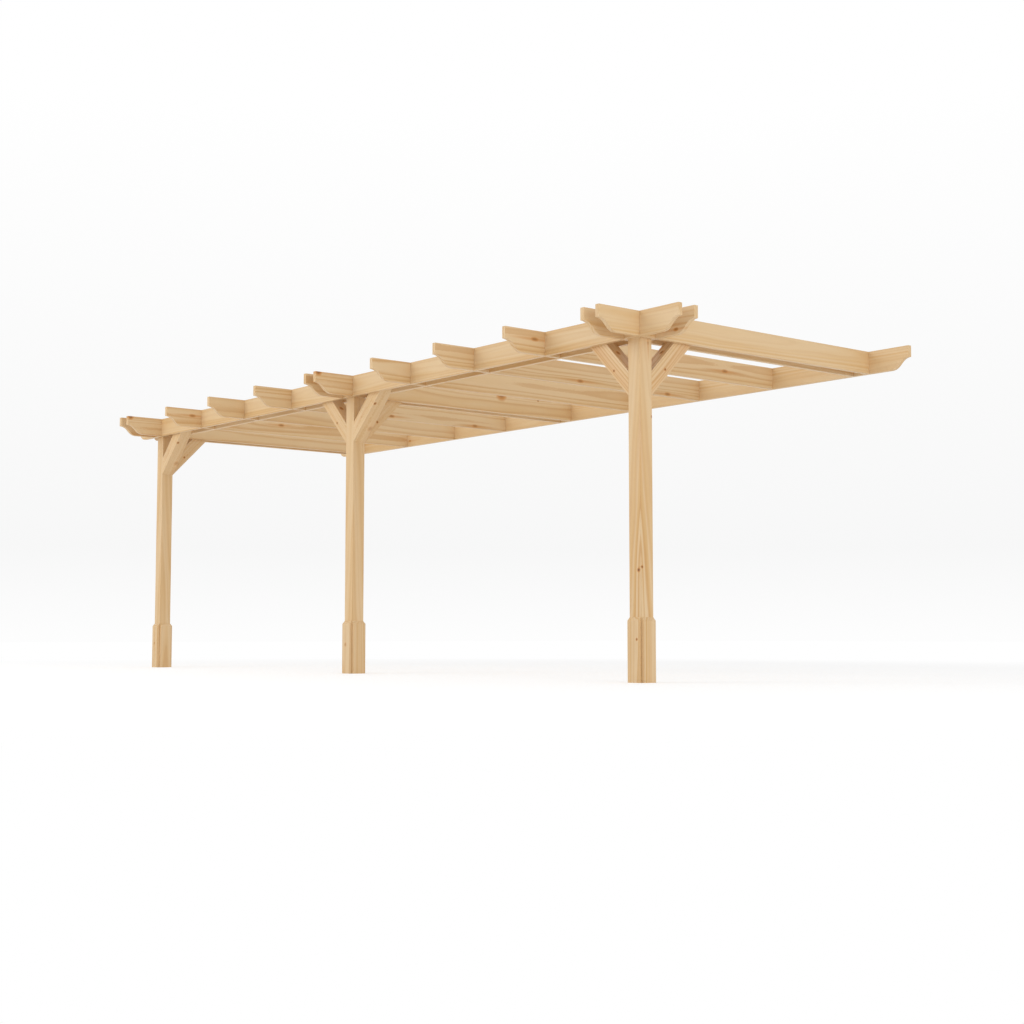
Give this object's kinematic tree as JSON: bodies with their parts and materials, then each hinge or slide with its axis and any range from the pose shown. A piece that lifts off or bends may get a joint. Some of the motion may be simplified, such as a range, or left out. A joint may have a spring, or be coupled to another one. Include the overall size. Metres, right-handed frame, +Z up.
{
  "type": "wall-mounted pergola",
  "caption": "Lean-to timber pergola: posts with plinths and knee braces carry a doubled front beam, and halved rafters with ogee noses run back to a wall rail.",
  "frame": {"origin": "middle of the wall rail's rear face", "axes": "+X along the wall, to the right as seen from the front; +Y into the wall; +Z up"},
  "size_m": [6.6, 2.4, 2.1],
  "materials": {
    "timber": "planed softwood, satin"
  },
  "bodies": {
    "root": {"left_post": "timber", "middle_post": "timber", "right_post": "timber", "left_post_plinth_front": "timber", "left_post_plinth_right": "timber", "left_post_plinth_rear": "timber", "left_post_plinth_left": "timber", "middle_post_plinth_front": "timber", "middle_post_plinth_right": "timber", "middle_post_plinth_rear": "timber", "middle_post_plinth_left": "timber", "right_post_plinth_front": "timber", "right_post_plinth_right": "timber", "right_post_plinth_rear": "timber", "right_post_plinth_left": "timber", "outer_front_beam": "timber", "inner_front_beam": "timber", "wall_rail": "timber", "left_post_rafter_left": "timber", "middle_post_rafter_left": "timber", "right_post_rafter_left": "timber", "left_post_rafter_right": "timber", "middle_post_rafter_right": "timber", "right_post_rafter_right": "timber", "left_bay_rafter_1": "timber", "left_bay_rafter_2": "timber", "left_bay_rafter_3": "timber", "right_bay_rafter_1": "timber", "right_bay_rafter_2": "timber", "right_bay_rafter_3": "timber", "left_post_right_brace": "timber", "left_post_rear_brace": "timber", "middle_post_left_brace": "timber", "middle_post_right_brace": "timber", "middle_post_rear_brace": "timber", "right_post_left_brace": "timber", "right_post_rear_brace": "timber"}
  },
  "joints": []
}
